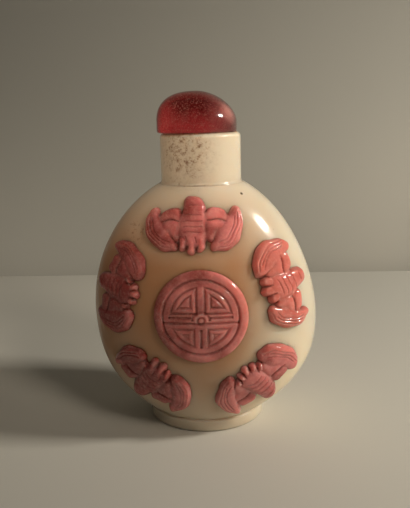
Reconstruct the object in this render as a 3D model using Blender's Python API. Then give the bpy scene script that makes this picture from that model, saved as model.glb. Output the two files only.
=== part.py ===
"""Snuff bottle of cased glass.

A flattened round bottle of white glass is blown hollow, with a straight neck and an oval foot.
A skin of rose glass was fused over it and carved away, which leaves five bats round a medallion
on each face. A domed stopper of ruby glass stands on the lip, and the cork under it fits the
neck. Metres, +Z up, the front faces -Y, and the origin is on the table under the foot's middle.
"""

import math

import bmesh
import bpy
from mathutils import Vector

# Body of the bottle
BODY_HALF_WIDTH = 0.0222
BODY_HALF_DEPTH = 0.0145
WIDEST_Z = 0.0220
WALL = 0.0030
SHOULDER_CURVE = 1.886
BELLY_CURVE = 1.793
BELLY_DROP = 2.228
BODY_ROWS = 8
CAVITY_ROWS = 5
BOTTLE_SIDES = 40

# Neck and mouth
NECK_RADIUS = 0.00767
SHOULDER_Z = 0.0481
LIP_Z = 0.0573
LIP_ROUNDING = 0.0009
BORE_RADIUS = 0.0036
BORE_LENGTH = 0.0098

# Foot
FOOT_HALF_WIDTH = 0.0117
FOOT_HALF_DEPTH = 0.0103
FOOT_HEIGHT = 0.0026
FOOT_ROUNDING = 0.0006
FOOT_CREASE = 0.0003
FOOT_RIM = 0.0024
FOOT_RECESS = 0.0012
FLOOR_THICKNESS = 0.0040

# Carved overlay
MEDALLION_Z = 0.0253
MEDALLION_RADIUS = 0.0085
MEDALLION_HEIGHT = 0.0010
MEDALLION_BORDER = 0.0016
MEDALLION_GROOVE = 0.0003
MEDALLION_SIDES = 28
BAT_CIRCLE = 0.0170
BAT_ANGLES = (92, 18, -54, -127, 163)
BAT_LENGTH = 0.0108
BAT_HEIGHT = 0.0017
RELIEF_ROOT = 0.0007
WALK_STEP = 0.0006

# Stopper and its cork
STOPPER_RADIUS = 0.0076
STOPPER_HEIGHT = 0.0073
STOPPER_STRAIGHT = 0.0024
STOPPER_EDGE = 0.0004
STOPPER_SHIFT = -0.0006
STOPPER_SIDES = 32
CORK_LENGTH = 0.0070
CORK_TAPER = 0.0003
CORK_SIDES = 16
GAP = 0.0003

# Length and width of each lobe of a bat, as shares of the bat's length, with its place along the
# bat (towards the tail) and across it, its turn and bend in degrees, and its share of the height
BAT_LOBES = (
    ("tail", 0.07, 0.02, 0.94, 0.46, 0, 0, 1.00),
    ("head", -0.31, 0.00, 0.44, 0.50, 0, 0, 0.90),
    ("inner_wing_left", 0.05, 0.37, 0.58, 0.40, -14, 0, 0.72),
    ("inner_wing_right", 0.02, -0.36, 0.56, 0.40, 14, 0, 0.72),
    ("outer_wing_left", -0.02, 0.64, 0.98, 0.34, 26, -72, 0.82),
    ("outer_wing_right", -0.06, -0.62, 0.92, 0.36, -28, 68, 0.82),
)


def clear_scene():
    for old in list(bpy.data.objects):
        bpy.data.objects.remove(old)


def material(name, colour, roughness, transmission=0.0):
    made = bpy.data.materials.new(name)
    made.use_nodes = True
    shader = made.node_tree.nodes["Principled BSDF"]
    shader.inputs["Base Color"].default_value = (*colour, 1.0)
    shader.inputs["Roughness"].default_value = roughness
    shader.inputs["Metallic"].default_value = 0.0
    shader.inputs["Transmission Weight"].default_value = transmission
    return made


def add_object(name, bm, finish):
    bmesh.ops.recalc_face_normals(bm, faces=bm.faces)
    mesh = bpy.data.meshes.new(name)
    bm.to_mesh(mesh)
    bm.free()
    mesh.materials.append(finish)
    mesh.shade_smooth()
    mesh.set_sharp_from_angle(angle=math.radians(40))
    made = bpy.data.objects.new(name, mesh)
    bpy.context.scene.collection.objects.link(made)
    return made


def loft(rows, sides):
    """Closed skin through oval rings, each given by its half width, half depth and height."""
    bm = bmesh.new()
    bmesh.ops.create_circle(bm, radius=1.0, segments=sides)
    ring = list(bm.edges)
    before = (1.0, 1.0)
    for number, (half_x, half_y, z) in enumerate(rows):
        if number:
            grown = bmesh.ops.extrude_edge_only(bm, edges=ring)["geom"]
            ring = [part for part in grown if isinstance(part, bmesh.types.BMEdge)]
        corners = {corner for edge in ring for corner in edge.verts}
        for corner in corners:
            corner.co = (corner.co.x * half_x / before[0], corner.co.y * half_y / before[1], z)
        before = (half_x, half_y)
    open_edges = [edge for edge in bm.edges if edge.is_boundary]
    bmesh.ops.holes_fill(bm, edges=open_edges, sides=0)
    return bm


def reach(share, rise_curve, side_curve):
    """Part of a quarter curve's rise at which its width has shrunk to the given share."""
    return (1 - share ** side_curve) ** (1 / rise_curve)


class Swelling:
    """Flattened round form that runs from one oval below to another above the widest place."""

    def __init__(self, half_width, half_depth, low, high):
        self.half = (half_width, half_depth)
        self.spans = []
        for axis in (0, 1):
            up = reach(high[axis] / self.half[axis], SHOULDER_CURVE, SHOULDER_CURVE)
            down = reach(low[axis] / self.half[axis], BELLY_DROP, BELLY_CURVE)
            self.spans.append(((high[2] - WIDEST_Z) / up, (WIDEST_Z - low[2]) / down))

    def halves(self, z):
        """Half width and half depth of the oval at height z."""
        found = []
        for half, (up, down) in zip(self.half, self.spans):
            if z >= WIDEST_Z:
                left = 1 - ((z - WIDEST_Z) / up) ** SHOULDER_CURVE
                found.append(half * max(left, 1e-9) ** (1 / SHOULDER_CURVE))
            else:
                left = 1 - ((WIDEST_Z - z) / down) ** BELLY_DROP
                found.append(half * max(left, 1e-9) ** (1 / BELLY_CURVE))
        return tuple(found)

    def rows(self, bottom, top, count):
        """Rings from bottom to top, closer together where the form turns in."""
        heights = []
        for number in range(count + 1):
            heights.append(WIDEST_Z - (WIDEST_Z - bottom) * math.cos(number / count * math.pi / 2))
        for number in range(1, count + 1):
            heights.append(WIDEST_Z + (top - WIDEST_Z) * math.sin(number / count * math.pi / 2))
        return [(*self.halves(z), z) for z in heights]

    def level(self, point):
        """Zero on the surface, positive outside it."""
        half_x, half_y = self.halves(point.z)
        return (point.x / half_x) ** 2 + (point.y / half_y) ** 2 - 1

    def normal(self, point):
        step = WALK_STEP / 100
        slopes = []
        for axis in range(3):
            shift = Vector((0, 0, 0))
            shift[axis] = step
            slopes.append((self.level(point + shift) - self.level(point - shift)) / (2 * step))
        return Vector(slopes)

    def snapped(self, point):
        slope = self.normal(point)
        return point - slope * (self.level(point) / slope.length_squared)

    def face_point(self, across, up, side):
        """Point and normal on the face, that far from the medallion's middle along the glass."""
        point = Vector((0, side * self.halves(MEDALLION_Z)[1], MEDALLION_Z))
        far = math.hypot(across, up)
        if far < WALK_STEP / 10:
            return point, self.normal(point).normalized()
        heading = Vector((across / far, 0, up / far))
        plane = heading.cross(Vector((0, 1, 0)))
        steps = max(1, round(far / WALK_STEP))
        for _ in range(steps):
            ahead = plane.cross(self.normal(point)).normalized()
            if ahead.dot(heading) < 0:
                ahead.negate()
            point = self.snapped(point + ahead * (far / steps))
        return point, self.normal(point).normalized()


def outer_form():
    foot = (FOOT_HALF_WIDTH - FOOT_CREASE, FOOT_HALF_DEPTH - FOOT_CREASE, FOOT_HEIGHT)
    neck = (NECK_RADIUS, NECK_RADIUS, SHOULDER_Z)
    return Swelling(BODY_HALF_WIDTH, BODY_HALF_DEPTH, foot, neck)


def cavity_form():
    floor_share = (FOOT_HALF_WIDTH - WALL, FOOT_HALF_DEPTH - WALL, FLOOR_THICKNESS + FOOT_RECESS)
    bore = (BORE_RADIUS, BORE_RADIUS, LIP_Z - BORE_LENGTH)
    return Swelling(BODY_HALF_WIDTH - WALL, BODY_HALF_DEPTH - WALL, floor_share, bore)


def foot_rows():
    """Recess, standing rim and rounded side of the foot, from its middle outwards."""
    rows = []
    for inset, z in (
        (FOOT_RIM + FOOT_RECESS, FOOT_RECESS),
        (FOOT_RIM, 0.0),
        (FOOT_ROUNDING, 0.0),
        (FOOT_ROUNDING * 0.3, FOOT_ROUNDING * 0.3),
        (0.0, FOOT_ROUNDING),
        (0.0, FOOT_HEIGHT - FOOT_CREASE),
    ):
        rows.append((FOOT_HALF_WIDTH - inset, FOOT_HALF_DEPTH - inset, z))
    return rows


def neck_rows():
    """Neck from the shoulder to the lip's inner edge."""
    radii = [(NECK_RADIUS, SHOULDER_Z + LIP_ROUNDING), (NECK_RADIUS, LIP_Z - LIP_ROUNDING)]
    for degrees in (45, 90):
        turn = math.radians(degrees)
        radius = NECK_RADIUS - LIP_ROUNDING * (1 - math.cos(turn))
        radii.append((radius, LIP_Z - LIP_ROUNDING * (1 - math.sin(turn))))
    radii.append((BORE_RADIUS, LIP_Z))
    return [(radius, radius, z) for radius, z in radii]


def make_vessel(finish):
    body = outer_form().rows(FOOT_HEIGHT, SHOULDER_Z, BODY_ROWS)
    hollow = cavity_form().rows(FLOOR_THICKNESS + FOOT_RECESS, LIP_Z - BORE_LENGTH, CAVITY_ROWS)
    rows = foot_rows() + body + neck_rows() + hollow[::-1]
    return add_object("bottle", loft(rows, BOTTLE_SIDES), finish)


def laid_on_face(bm, side):
    """Moves a piece built flat, with its height as z, onto the bottle's front or back."""
    form = outer_form()
    for corner in bm.verts:
        across, up, height = corner.co
        point, normal = form.face_point(across, up, side)
        corner.co = point + normal * height


def make_medallion(side, finish):
    radius = MEDALLION_RADIUS
    inner = radius - MEDALLION_BORDER
    low = MEDALLION_HEIGHT - MEDALLION_GROOVE
    rows = [(radius, -RELIEF_ROOT), (radius, low), (radius - MEDALLION_GROOVE, MEDALLION_HEIGHT)]
    rows += [(inner, MEDALLION_HEIGHT), (inner - MEDALLION_GROOVE, low)]
    rows += [(inner * share, low) for share in (0.62, 0.3)]
    bm = loft([(ring, ring, height) for ring, height in rows], MEDALLION_SIDES)
    laid_on_face(bm, side)
    return add_object(f"cut_medallion_{side}", bm, finish)


def make_lobe(name, place, lobe, side, finish):
    """One rounded lobe of a bat: a flattened ball, bent along an arc and laid on the glass."""
    middle, across, length, width, turn, bend, share = lobe
    bm = bmesh.new()
    bmesh.ops.create_uvsphere(bm, u_segments=10, v_segments=4, radius=1.0)
    length = length * BAT_LENGTH
    width = width * BAT_LENGTH
    bend = math.radians(bend)
    heading = math.radians(place)
    for corner in bm.verts:
        along, aside, rise = corner.co
        angle = along * bend / 2
        if bend:
            arc = length / bend
            x = (arc - aside * width / 2) * math.sin(angle)
            y = arc - (arc - aside * width / 2) * math.cos(angle)
        else:
            x = along * length / 2
            y = aside * width / 2
        bat_x = middle * BAT_LENGTH + x * math.cos(math.radians(turn)) - y * math.sin(math.radians(turn))
        bat_y = across * BAT_LENGTH + x * math.sin(math.radians(turn)) + y * math.cos(math.radians(turn))
        out = BAT_CIRCLE + bat_x
        u = out * math.cos(heading) - bat_y * math.sin(heading)
        v = out * math.sin(heading) + bat_y * math.cos(heading)
        height = BAT_HEIGHT * share * rise ** 0.6 if rise > 0 else RELIEF_ROOT * rise
        corner.co = (u, v, height)
    laid_on_face(bm, side)
    return add_object(name, bm, finish)


def make_overlay(finish):
    """Every carved piece of both faces, in a collection of its own."""
    overlay = bpy.data.collections.new("overlay")
    for side in (-1, 1):
        pieces = [make_medallion(side, finish)]
        for number, place in enumerate(BAT_ANGLES):
            for name, *lobe in BAT_LOBES:
                pieces.append(make_lobe(f"cut_{name}_{number}_{side}", place, lobe, side, finish))
        for piece in pieces:
            bpy.context.scene.collection.objects.unlink(piece)
            overlay.objects.link(piece)
            piece.hide_render = True
            piece.display_type = "WIRE"
    return overlay


def make_bottle(white_glass, rose_glass):
    vessel = make_vessel(white_glass)
    vessel.data.materials.append(rose_glass)
    fused = vessel.modifiers.new("fused overlay", "BOOLEAN")
    fused.operation = "UNION"
    fused.solver = "EXACT"
    fused.operand_type = "COLLECTION"
    fused.collection = make_overlay(rose_glass)
    return vessel


def make_stopper(finish):
    """Dome with a short straight side and a softened lower edge."""
    crown = STOPPER_HEIGHT - STOPPER_STRAIGHT
    rows = [(STOPPER_RADIUS - STOPPER_EDGE, 0.0), (STOPPER_RADIUS, STOPPER_EDGE)]
    for degrees in range(0, 86, 14):
        turn = math.radians(degrees)
        rows.append((STOPPER_RADIUS * math.cos(turn), STOPPER_STRAIGHT + crown * math.sin(turn)))
    rows.append((STOPPER_EDGE, STOPPER_HEIGHT))
    made = add_object("stopper", loft([(r, r, z) for r, z in rows], STOPPER_SIDES), finish)
    made.location = (STOPPER_SHIFT, 0, LIP_Z + GAP)
    return made


def make_cork(finish):
    radius = BORE_RADIUS - GAP
    edge = CORK_TAPER
    rows = [(radius - CORK_TAPER - edge, 0.0), (radius - CORK_TAPER, edge)]
    rows += [(radius, CORK_LENGTH - edge), (radius - edge, CORK_LENGTH)]
    made = add_object("stopper_cork", loft([(r, r, z) for r, z in rows], CORK_SIDES), finish)
    made.location = (0, 0, LIP_Z - CORK_LENGTH)
    return made


def main():
    clear_scene()
    white_glass = material("white_milk_glass", (0.74, 0.62, 0.45), 0.12)
    rose_glass = material("rose_overlay_glass", (0.34, 0.09, 0.08), 0.10)
    ruby_glass = material("ruby_glass", (0.22, 0.01, 0.008), 0.05, 0.8)
    cork = material("cork", (0.38, 0.22, 0.11), 0.9)
    make_bottle(white_glass, rose_glass)
    make_stopper(ruby_glass)
    make_cork(cork)


main()
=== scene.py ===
# %% [markdown]
# # A snuff bottle of cased glass
# The object is a palm-sized bottle. White glass was blown hollow and flattened, a skin of rose
# glass was fused over it, and a carver cut the rose glass away until five bats and a round
# medallion stood on each face. A dome of ruby glass closes the mouth. The solids of the packed
# model give every size, and this file makes the surfaces that the eye sees.

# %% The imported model
import math

import bpy
import numpy as np
from mathutils import Matrix, Vector


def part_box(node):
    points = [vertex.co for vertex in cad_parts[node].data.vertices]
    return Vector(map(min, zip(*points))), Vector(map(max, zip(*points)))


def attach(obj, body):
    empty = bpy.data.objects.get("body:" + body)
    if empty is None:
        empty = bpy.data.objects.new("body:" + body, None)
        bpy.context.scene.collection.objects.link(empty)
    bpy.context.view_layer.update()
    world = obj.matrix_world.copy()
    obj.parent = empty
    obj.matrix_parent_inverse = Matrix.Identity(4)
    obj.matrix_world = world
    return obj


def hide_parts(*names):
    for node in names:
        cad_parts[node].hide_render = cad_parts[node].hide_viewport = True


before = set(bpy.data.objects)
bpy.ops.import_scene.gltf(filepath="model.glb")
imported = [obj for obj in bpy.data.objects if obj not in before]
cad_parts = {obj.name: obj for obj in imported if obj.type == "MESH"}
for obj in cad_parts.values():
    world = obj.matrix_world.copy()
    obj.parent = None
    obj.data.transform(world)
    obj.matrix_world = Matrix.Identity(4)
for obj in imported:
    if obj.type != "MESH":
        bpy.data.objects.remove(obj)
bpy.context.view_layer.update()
MM = 0.001
bottle_low, bottle_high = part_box("bottle")
stopper_low, stopper_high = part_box("stopper")
print("packed nodes:", sorted(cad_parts))

# %% [markdown]
# ## The blown form
# The body is round seen from the front and flattened seen from the side. It could be modelled
# by eye from a ball, but the carving has to lie on it exactly, so one formula gives it: a curve
# like an ellipse's, a little squarer below than above, that runs from the foot's oval to the
# neck's circle. A small hollow curve joins it to the neck. It starts at an angle of CURVE_START
# degrees, where it touches the shoulder. Lengths here are in millimetres.

# %% Sizes of the glass
HALF_WIDTH = bottle_high.x / MM
HALF_DEPTH = 14.5
WIDEST_Z = 22.0
WALL = 3.0
SHOULDER_CURVE = 1.886
BELLY_CURVE = 1.793
BELLY_DROP = 2.40
NECK_RADIUS = 7.67
SHOULDER_Z = 48.1
NECK_CURVE = 0.9
CURVE_START = 235
CURVE_RISE = 0.525
CURVE_REACH = 0.46
LIP_Z = bottle_high.z / MM
LIP_ROUNDING = 0.9
BORE_RADIUS = 3.6
BORE_LENGTH = 9.8
FOOT_HALF_WIDTH = 11.7
FOOT_HALF_DEPTH = 10.3
FOOT_HEIGHT = 2.6
FOOT_ROUNDING = 0.6
FOOT_CREASE = 0.3
FOOT_RIM = 2.4
FOOT_RECESS = 1.2
FLOOR_THICKNESS = 4.0
LEAN = 0.32
MEDALLION_Z = 25.3
MEDALLION_RADIUS = 8.5


# %% A flattened round form
def reach(share, rise_curve, side_curve):
    """Part of a quarter curve's rise at which its width has shrunk to the given share."""
    return (1 - share ** side_curve) ** (1 / rise_curve)


def lean(z):
    """How far a hand-blown body strays to the right at the heights z."""
    share = np.clip((z - FOOT_HEIGHT) / (SHOULDER_Z - FOOT_HEIGHT), 0, 1)
    return LEAN * np.sin(2 * math.pi * share)


class BlownForm:
    """Oval rings from the one given below to the one given above, widest at WIDEST_Z."""

    def __init__(self, half_width, half_depth, low, high):
        self.half = (half_width, half_depth)
        self.up = []
        self.down = []
        for axis in (0, 1):
            high_share = high[axis] / self.half[axis]
            low_share = low[axis] / self.half[axis]
            self.up.append((high[2] - WIDEST_Z) / reach(high_share, SHOULDER_CURVE, SHOULDER_CURVE))
            self.down.append((WIDEST_Z - low[2]) / reach(low_share, BELLY_DROP, BELLY_CURVE))

    def half_size(self, axis, z):
        """Half width (axis 0) or half depth (axis 1) at the heights z."""
        rise = np.clip((z - WIDEST_Z) / self.up[axis], 0, 0.9999)
        drop = np.clip((WIDEST_Z - z) / self.down[axis], 0, 0.9999)
        above = (1 - rise ** SHOULDER_CURVE) ** (1 / SHOULDER_CURVE)
        below = (1 - drop ** BELLY_DROP) ** (1 / BELLY_CURVE)
        return self.half[axis] * above * below

    def level(self, points):
        """Zero on the surface, positive outside it."""
        z = points[:, 2]
        across = (points[:, 0] - lean(z)) / self.half_size(0, z)
        through = points[:, 1] / self.half_size(1, z)
        return across ** 2 + through ** 2 - 1

    def slope(self, points):
        """Direction in which the level rises, and how steeply."""
        step = 0.001
        parts = []
        for axis in range(3):
            shift = np.zeros(3)
            shift[axis] = step
            parts.append((self.level(points + shift) - self.level(points - shift)) / (2 * step))
        return np.stack(parts, axis=1)

    def snapped(self, points):
        """The points, moved onto the surface."""
        slope = self.slope(points)
        return points - slope * (self.level(points) / (slope ** 2).sum(axis=1))[:, None]


outer = BlownForm(
    HALF_WIDTH,
    HALF_DEPTH,
    (FOOT_HALF_WIDTH - FOOT_CREASE, FOOT_HALF_DEPTH - FOOT_CREASE, FOOT_HEIGHT),
    (NECK_RADIUS, NECK_RADIUS, SHOULDER_Z),
)
inner = BlownForm(
    HALF_WIDTH - WALL,
    HALF_DEPTH - WALL,
    (FOOT_HALF_WIDTH - WALL, FOOT_HALF_DEPTH - WALL, FLOOR_THICKNESS + FOOT_RECESS),
    (BORE_RADIUS, BORE_RADIUS, LIP_Z - BORE_LENGTH),
)
print("half width at the medallion:", round(float(outer.half_size(0, np.array(MEDALLION_Z))), 2))

# %% [markdown]
# ## The camera
# The photograph was taken from close by and from a little above, so the foot shows as an oval
# and the shoulders hide nothing. The place, the tilt and the lens are worked out from the ovals
# of the foot and the neck. The picture is taller than it is wide, so the lens covers the height.

# %% Camera
PICTURE_HEIGHT = 508
CAMERA_DISTANCE = 115.165
CAMERA_HEIGHT = 61.165
CAMERA_PITCH = math.radians(13.538)
CAMERA_ROLL = math.radians(-1.484)
CAMERA_YAW = math.radians(-0.176)
CAMERA_AZIMUTH = math.radians(2.854)
FOCAL_PIXELS = 594.198
SENSOR_HEIGHT = 36.0

camera_turn = CAMERA_AZIMUTH + CAMERA_YAW
level_ahead = Vector((-math.sin(camera_turn), math.cos(camera_turn), 0))
ahead = level_ahead * math.cos(CAMERA_PITCH) + Vector((0, 0, -math.sin(CAMERA_PITCH)))
flat_right = ahead.cross(Vector((0, 0, 1))).normalized()
flat_up = flat_right.cross(ahead)
right = flat_right * math.cos(CAMERA_ROLL) + flat_up * math.sin(CAMERA_ROLL)
up = flat_up * math.cos(CAMERA_ROLL) - flat_right * math.sin(CAMERA_ROLL)

place = Vector((
    math.sin(CAMERA_AZIMUTH) * CAMERA_DISTANCE,
    -math.cos(CAMERA_AZIMUTH) * CAMERA_DISTANCE,
    CAMERA_HEIGHT,
)) * MM
bpy.ops.object.camera_add(location=place)
camera = bpy.context.object
camera.name = "photo_camera"
camera.rotation_mode = "QUATERNION"
turned = np.array([right, up, -ahead]).T
camera.rotation_quaternion = Matrix(turned.tolist()).to_quaternion()
camera.data.sensor_width = SENSOR_HEIGHT
camera.data.lens = FOCAL_PIXELS / PICTURE_HEIGHT * SENSOR_HEIGHT
camera.data.clip_start = 0.005
bpy.context.scene.camera = camera
print("lens in mm:", round(camera.data.lens, 2))

# %% [markdown]
# ## Materials
# Every finish here is glass but one. What differs is how far light goes in: the milk glass
# scatters it near the surface, the rose skin lets it in a millimetre or two, and the ruby dome
# lets it through. A small helper adds one node with its settings and its links, and colours are
# written as the sRGB hex values that a paint program shows.


# %% Helpers for materials
def linear(hex_colour):
    """The shader's linear colour for an sRGB hex value."""
    parts = []
    for start in (1, 3, 5):
        value = int(hex_colour[start:start + 2], 16) / 255
        parts.append(value / 12.92 if value <= 0.04045 else ((value + 0.055) / 1.055) ** 2.4)
    return (*parts, 1.0)


def add(tree, kind, sockets=None, **settings):
    """Adds one node; a socket's entry is a value, or another node's output to link."""
    node = tree.nodes.new(kind)
    for name, value in settings.items():
        setattr(node, name, value)
    for socket, value in (sockets or {}).items():
        if isinstance(value, bpy.types.NodeSocket):
            tree.links.new(value, node.inputs[socket])
        else:
            node.inputs[socket].default_value = value
    return node


def new_material(name):
    made = bpy.data.materials.new(name)
    made.use_nodes = True
    made.node_tree.nodes.clear()
    return made, made.node_tree


# %% [markdown]
# ### White milk glass
# Milk glass is soda glass clouded with a fine white powder, blown and then ground and polished
# by hand. It has a hard shine over a soft ivory body. Painted shade browns the shaded front, the
# left and the belly but not the foot or the lit right, and painted light makes the lower right pale.
# It keeps brown specks in its pits, most of all on the neck, and grime with painted shade where the
# glass is closed in, which is all along the carving's foot.

# %% White milk glass
IVORY = linear("#D4CBB7")
# Brown for the painted shade on the shaded front, the left and the belly.
SHADE_BROWN = linear("#B4835A")
# Pale ivory for the painted light on the lower right, and its middle.
PAINTED_LIGHT_IVORY = linear("#F2E2C4")
PAINTED_LIGHT_PLACE = (15.5 * MM, -9.0 * MM, 10.0 * MM)
# Brown for grime, which also serves as painted shade where the glass is closed in.
GRIME_AND_SHADE = linear("#7C4728")
STAIN = linear("#7A5230")
SPECK = linear("#3A2517")
CLOUD_SCALE = 1 / (14 * MM)
GRIND_SCALE = 1 / (3.5 * MM)
STAIN_SCALE = 1 / (0.8 * MM)
PIT_SCALE = 1 / (0.5 * MM)
STAIN_PLACE = (-2.8 * MM, -7.0 * MM, 53.6 * MM)
PITS_PLACE = (-11.5 * MM, -8.8 * MM, 40.0 * MM)
DARK_SPECK = (7.62 * MM, -6.02 * MM, 46.21 * MM)

milk, tree = new_material("white_milk_glass_ground_and_polished")
where = add(tree, "ShaderNodeTexCoord").outputs["Object"]
cloud = add(tree, "ShaderNodeTexNoise", {"Vector": where, "Scale": CLOUD_SCALE, "Detail": 3.0})
place_on = add(tree, "ShaderNodeSeparateXYZ", {"Vector": where})
# Painted shade: brown across the front and left, fading out towards the lit right, less high up and
# near the foot, and a little patchy.
shaded_side = add(tree, "ShaderNodeMapRange", {
    "Value": place_on.outputs["X"], "From Min": 18 * MM, "From Max": 5 * MM,
    "To Min": 0.0, "To Max": 1.0,
}, interpolation_type="SMOOTHSTEP")
low_down = add(tree, "ShaderNodeMapRange", {
    "Value": place_on.outputs["Z"], "From Min": 48 * MM, "From Max": 34 * MM,
    "To Min": 0.10, "To Max": 1.0,
})
above_foot = add(tree, "ShaderNodeMapRange", {
    "Value": place_on.outputs["Z"], "From Min": 2 * MM, "From Max": 17 * MM,
    "To Min": 0.2, "To Max": 1.0,
})
shade_height = add(tree, "ShaderNodeMath", {
    0: above_foot.outputs["Result"], 1: low_down.outputs["Result"],
}, operation="MULTIPLY")
shade_there = add(tree, "ShaderNodeMath", {
    0: shaded_side.outputs["Result"], 1: shade_height.outputs[0],
}, operation="MULTIPLY")
patchy = add(tree, "ShaderNodeMapRange", {
    "Value": cloud.outputs["Fac"], "From Min": 0.3, "From Max": 0.7, "To Min": 0.78, "To Max": 1.0,
})
painted_shade_mask = add(tree, "ShaderNodeMath", {
    0: shade_there.outputs[0], 1: patchy.outputs["Result"],
}, operation="MULTIPLY")
body_colour = add(tree, "ShaderNodeMix", {
    0: painted_shade_mask.outputs[0], 6: IVORY, 7: SHADE_BROWN,
}, data_type="RGBA")
# Painted light: a pale patch on the lit lower right.
from_painted_light = add(tree, "ShaderNodeVectorMath", {0: where, 1: PAINTED_LIGHT_PLACE}, operation="DISTANCE")
painted_light_mask = add(tree, "ShaderNodeMapRange", {
    "Value": from_painted_light.outputs["Value"], "From Min": 3 * MM, "From Max": 15 * MM,
    "To Min": 0.9, "To Max": 0.0,
}, interpolation_type="SMOOTHSTEP")
ground = add(tree, "ShaderNodeMix", {
    0: painted_light_mask.outputs["Result"], 6: body_colour.outputs[2], 7: PAINTED_LIGHT_IVORY,
}, data_type="RGBA")
stain_noise = add(tree, "ShaderNodeTexNoise", {
    "Vector": where, "Scale": STAIN_SCALE, "Detail": 6.0, "Roughness": 0.78,
})
from_stain = add(tree, "ShaderNodeVectorMath", {0: where, 1: STAIN_PLACE}, operation="DISTANCE")
near_stain = add(tree, "ShaderNodeMapRange", {
    "Value": from_stain.outputs["Value"], "From Min": 2.5 * MM, "From Max": 7.5 * MM,
    "To Min": 0.15, "To Max": 0.0,
})
from_pits = add(tree, "ShaderNodeVectorMath", {0: where, 1: PITS_PLACE}, operation="DISTANCE")
near_pits = add(tree, "ShaderNodeMapRange", {
    "Value": from_pits.outputs["Value"], "From Min": 1.5 * MM, "From Max": 5 * MM,
    "To Min": 0.13, "To Max": 0.0,
})
near_both = add(tree, "ShaderNodeMath", {
    0: near_stain.outputs["Result"], 1: near_pits.outputs["Result"],
}, operation="MAXIMUM")
stain_level = add(tree, "ShaderNodeMath", {
    0: stain_noise.outputs["Fac"], 1: near_both.outputs[0],
}, operation="ADD")
stain_mask = add(tree, "ShaderNodeMapRange", {
    "Value": stain_level.outputs[0], "From Min": 0.66, "From Max": 0.78, "To Min": 0.0, "To Max": 0.75,
})
near_smudge = add(tree, "ShaderNodeMapRange", {
    "Value": from_stain.outputs["Value"], "From Min": 2 * MM, "From Max": 7.5 * MM,
    "To Min": 0.38, "To Max": 0.0,
})
smudge_level = add(tree, "ShaderNodeMapRange", {
    "Value": stain_noise.outputs["Fac"], "From Min": 0.42, "From Max": 0.62,
    "To Min": 0.0, "To Max": 1.0,
})
smudge_mask = add(tree, "ShaderNodeMath", {
    0: near_smudge.outputs["Result"], 1: smudge_level.outputs["Result"],
}, operation="MULTIPLY")
smudged = add(tree, "ShaderNodeMix", {
    0: smudge_mask.outputs[0], 6: ground.outputs[2], 7: GRIME_AND_SHADE,
}, data_type="RGBA")
stained = add(tree, "ShaderNodeMix", {
    0: stain_mask.outputs["Result"], 6: smudged.outputs[2], 7: STAIN,
}, data_type="RGBA")
from_speck = add(tree, "ShaderNodeVectorMath", {0: where, 1: DARK_SPECK}, operation="DISTANCE")
speck_mask = add(tree, "ShaderNodeMapRange", {
    "Value": from_speck.outputs["Value"], "From Min": 0.22 * MM, "From Max": 0.34 * MM,
    "To Min": 0.9, "To Max": 0.0,
})
specked = add(tree, "ShaderNodeMix", {
    0: speck_mask.outputs["Result"], 6: stained.outputs[2], 7: SPECK,
}, data_type="RGBA")
# Grime and painted shade: darker where the glass is closed in, as along the carving's foot, and not on
# the foot.
corner = add(tree, "ShaderNodeAmbientOcclusion", {"Distance": 2.1 * MM}, samples=8)
grime_and_shade_mask = add(tree, "ShaderNodeMapRange", {
    "Value": corner.outputs["AO"], "From Min": 0.95, "From Max": 0.5, "To Min": 0.0, "To Max": 0.7,
})
uneven = add(tree, "ShaderNodeMapRange", {
    "Value": stain_noise.outputs["Fac"], "From Min": 0.35, "From Max": 0.6,
    "To Min": 0.45, "To Max": 1.0,
})
grime_and_shade_there = add(tree, "ShaderNodeMath", {
    0: grime_and_shade_mask.outputs["Result"], 1: uneven.outputs["Result"],
}, operation="MULTIPLY")
grime_and_shade_off_foot = add(tree, "ShaderNodeMath", {
    0: grime_and_shade_there.outputs[0], 1: above_foot.outputs["Result"],
}, operation="MULTIPLY")
grimed_and_shaded = add(tree, "ShaderNodeMix", {
    0: grime_and_shade_off_foot.outputs[0], 6: specked.outputs[2], 7: GRIME_AND_SHADE,
}, data_type="RGBA")
pits = add(tree, "ShaderNodeTexNoise", {"Vector": where, "Scale": PIT_SCALE, "Detail": 2.0})
grind = add(tree, "ShaderNodeTexNoise", {"Vector": where, "Scale": GRIND_SCALE, "Detail": 2.0})
rough = add(tree, "ShaderNodeMapRange", {
    "Value": grind.outputs["Fac"], "From Min": 0.3, "From Max": 0.7, "To Min": 0.14, "To Max": 0.23,
})
bump = add(tree, "ShaderNodeBump", {
    "Height": pits.outputs["Fac"], "Strength": 0.25, "Distance": 0.03 * MM,
})
shader = add(tree, "ShaderNodeBsdfPrincipled", {
    "Base Color": grimed_and_shaded.outputs[2],
    "Roughness": rough.outputs["Result"],
    "Normal": bump.outputs["Normal"],
    "IOR": 1.5,
    "Subsurface Weight": 1.0,
    "Subsurface Radius": (1.0, 0.78, 0.60),
    "Subsurface Scale": 2.8 * MM,
})
add(tree, "ShaderNodeOutputMaterial", {"Surface": shader.outputs["BSDF"]})
print("made", milk.name)

# %% [markdown]
# ### Rose overlay glass
# The skin is clear glass tinted with a trace of gold, so thin edges are lighter and the thick
# middles are a deeper rose. It was cut with small wheels and polished, and snuff and dust have
# settled in the cuts, which painted shade darkens further, as it darkens the hollows between the
# forms. Fine milky flecks are caught in it. The tint varies at random, and painted light makes it
# coral on the right of the bottle, and painted shade makes it deeper on the left.

# %% Rose overlay glass
ROSE = linear("#D4827F")
ROSE_DEEP = linear("#8C423E")
# Coral for the painted light on the right of the bottle, and its middle.
PAINTED_CORAL = linear("#C87262")
PAINTED_CORAL_PLACE = (17.0 * MM, -9.0 * MM, 30.0 * MM)
THIN_ROSE = linear("#E8AC9E")
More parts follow.
